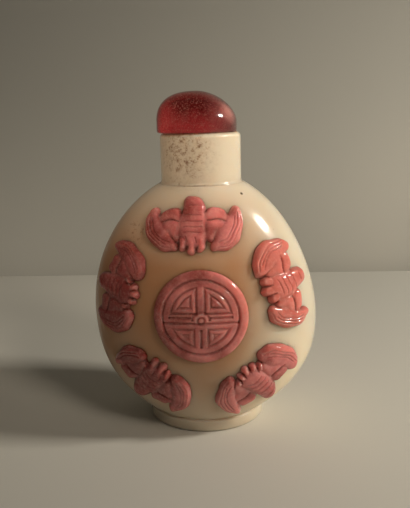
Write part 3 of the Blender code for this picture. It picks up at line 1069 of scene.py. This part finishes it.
# %% Medallion
flat_row = [(MEDALLION_RADIUS * share, 0) for share in np.linspace(0, 1, RING_COUNT)]
flat_row += [(MEDALLION_RADIUS, -ROOT), (0, -ROOT)]
medallion = spun("medallion_front", flat_row, SPOKES)
flat = corners_of(medallion)
on_top = flat[:, 2] > -ROOT / 2
rise = fret_relief(flat[:, 0] / MEDALLION_RADIUS, flat[:, 1] / MEDALLION_RADIUS)
flat[:, 2] = np.where(on_top, rise, flat[:, 2])
set_corners(medallion, laid_on_front(flat))
medallion_back = copied_to_back(medallion, "medallion_back")
finished(medallion, rose)
finished(medallion_back, rose)

# %% [markdown]
# ## The stopper
# The dome was cut by hand, so one shoulder is fuller than the other. Its outline is a curve whose
# squareness changes round the dome, and its lower edge is rounded a little and sits on the lip.

# %% Stopper
STOPPER_RADIUS = (stopper_high.x - stopper_low.x) / 2 / MM
STOPPER_HEIGHT = (stopper_high.z - stopper_low.z) / MM
STOPPER_X = (stopper_high.x + stopper_low.x) / 2 / MM
STOPPER_BASE = stopper_low.z / MM
LIP_GAP = 0.02
SEAT = LIP_Z + LIP_GAP - STOPPER_BASE
STRAIGHT = 0.2
EDGE = 0.30
SQUARE_LEFT = 2.5
SQUARE_RIGHT = 1.8

CROWN_RINGS = 40
STOPPER_STEPS = 128
EDGE_START = -75

shares = np.sin(np.linspace(math.pi / 2, 0, CROWN_RINGS))
outline = [(0, SEAT), (STOPPER_RADIUS - EDGE, SEAT)]
outline += arc(STOPPER_RADIUS - EDGE, SEAT + EDGE, EDGE, EDGE_START, 0, 6)
outline += [(STOPPER_RADIUS * share, 1 + index) for index, share in enumerate(shares)]
stopper = spun("ruby_dome", outline, STOPPER_STEPS)
points = corners_of(stopper)
share = np.clip(np.hypot(points[:, 0], points[:, 1]) / STOPPER_RADIUS, 0, 1)
turn = np.arctan2(points[:, 1], points[:, 0])
square = (SQUARE_LEFT + SQUARE_RIGHT) / 2 - (SQUARE_LEFT - SQUARE_RIGHT) / 2 * np.cos(turn)
crown = STRAIGHT + (1 - STRAIGHT) * (1 - share ** square) ** (1 / square)
on_crown = points[:, 2] > 0.9
points[:, 2] = np.where(on_crown, crown * STOPPER_HEIGHT, points[:, 2])
points += (STOPPER_X, 0, STOPPER_BASE)
set_corners(stopper, points)
finished(stopper, ruby)
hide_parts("stopper")
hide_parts("bottle")

# %% Cork finish
cork_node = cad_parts["stopper_cork"]
cork_node.data.materials.clear()
cork_node.data.materials.append(cork)

# %% [markdown]
# ## Floor and light
# The bottle stands on a pale table top with a pale backdrop behind it. One soft light from the
# right and above draws the shine on the shoulder and leaves the left side in shade. Three weak
# ones stand in for the light that the room throws back: one low on the right for the lower body,
# one in front for the neck and the dome, and a faint one from the left. They draw no shine.

# %% Floor
PAPER = linear("#DAD7CC")
# A greyer paper for the painted shade high on the backdrop.
PAPER_SHADED_TOP = linear("#B0ADA4")
SHEET_HALF_WIDTH = 600
TABLE_FRONT = -400
TABLE_BACK = 109
TABLE_ROUNDING = 3
TABLE_EDGE_LOW = -60
WALL_BACK = 165
WALL_TOP = 500

floor_finish, tree = new_material("pale_paper_painted_shade_above")
where = add(tree, "ShaderNodeTexCoord").outputs["Object"]
# Painted shade: the paper darkens upwards, as the light falls off.
shade_up_wall = add(tree, "ShaderNodeMapRange", {
    "Value": add(tree, "ShaderNodeSeparateXYZ", {"Vector": where}).outputs["Z"],
    "From Min": 1 * MM, "From Max": 105 * MM, "To Min": 0.0, "To Max": 1.0,
})
paper = add(tree, "ShaderNodeMix", {
    0: shade_up_wall.outputs["Result"], 6: PAPER, 7: PAPER_SHADED_TOP,
}, data_type="RGBA")
shader = add(tree, "ShaderNodeBsdfPrincipled", {"Base Color": paper.outputs[2], "Roughness": 0.9})
add(tree, "ShaderNodeOutputMaterial", {"Surface": shader.outputs["BSDF"]})


def paper_sheet(name, profile):
    """A wide sheet through the (y, z) points of a profile, in millimetres, with the pale paper."""
    mesh = bpy.data.meshes.new(name)
    points = []
    for y, z in profile:
        points += [(side * SHEET_HALF_WIDTH * MM, y * MM, z * MM) for side in (-1, 1)]
    faces = [(2 * i, 2 * i + 1, 2 * i + 3, 2 * i + 2) for i in range(len(profile) - 1)]
    mesh.from_pydata(points, [], faces)
    mesh.materials.append(floor_finish)
    mesh.shade_smooth()
    made = bpy.data.objects.new(name, mesh)
    bpy.context.scene.collection.objects.link(made)


edge_middle = TABLE_BACK - TABLE_ROUNDING
table_top = [(TABLE_FRONT, 0), (edge_middle, 0)]
table_top += arc(edge_middle, -TABLE_ROUNDING, TABLE_ROUNDING, 80, 0, 9)
table_top += [(TABLE_BACK, TABLE_EDGE_LOW)]
paper_sheet("table", table_top)
paper_sheet("backdrop", [(WALL_BACK, TABLE_EDGE_LOW), (WALL_BACK, WALL_TOP)])
print("table and backdrop stand")


# %% Lights
def soft_light(name, side, rise, far, aim_z, size, power, colour):
    """A light facing a height on the bottle, at angles round from +X and up, in degrees."""
    level = far * math.cos(math.radians(rise))
    place = Vector((
        level * math.cos(math.radians(side)),
        level * math.sin(math.radians(side)),
        far * math.sin(math.radians(rise)) + aim_z,
    )) * MM
    bpy.ops.object.light_add(type="AREA", location=place)
    lamp = bpy.context.object
    lamp.name = name
    lamp.data.shape = "RECTANGLE"
    lamp.data.size = size[0] * MM
    lamp.data.size_y = size[1] * MM
    lamp.data.energy = power
    lamp.data.color = linear(colour)[:3]
    aim = Vector((0, 0, aim_z * MM)) - lamp.location
    lamp.rotation_euler = aim.to_track_quat("-Z", "Y").to_euler()
    return lamp


TOP_SPREAD = math.radians(35)
CARD_SPREAD = math.radians(24)
ROOM_COLOUR = linear("#CFC9C0")
ROOM_STRENGTH = 0.08

soft_light("window", -7, 30, 310, 35, (50, 30), 0.59, "#FFF7EA")
low_fill = soft_light("low_fill", -15, 4, 200, 22, (60, 30), 0.078, "#FFF3E0")
top_fill = soft_light("top_fill", -48, 30, 190, 52, (60, 60), 0.009, "#FFF1E0")
top_fill.data.spread = TOP_SPREAD
card = soft_light("card", -125, 16, 170, 54, (30, 30), 0.0022, "#FFE2C6")
card.data.spread = CARD_SPREAD
for lamp in (low_fill, top_fill, card):
    lamp.visible_glossy = False
    lamp.visible_transmission = False
world = bpy.data.worlds.new("room")
bpy.context.scene.world = world
world.use_nodes = True
background = world.node_tree.nodes["Background"]
background.inputs["Color"].default_value = ROOM_COLOUR
background.inputs["Strength"].default_value = ROOM_STRENGTH
bpy.context.scene.view_settings.view_transform = "Standard"
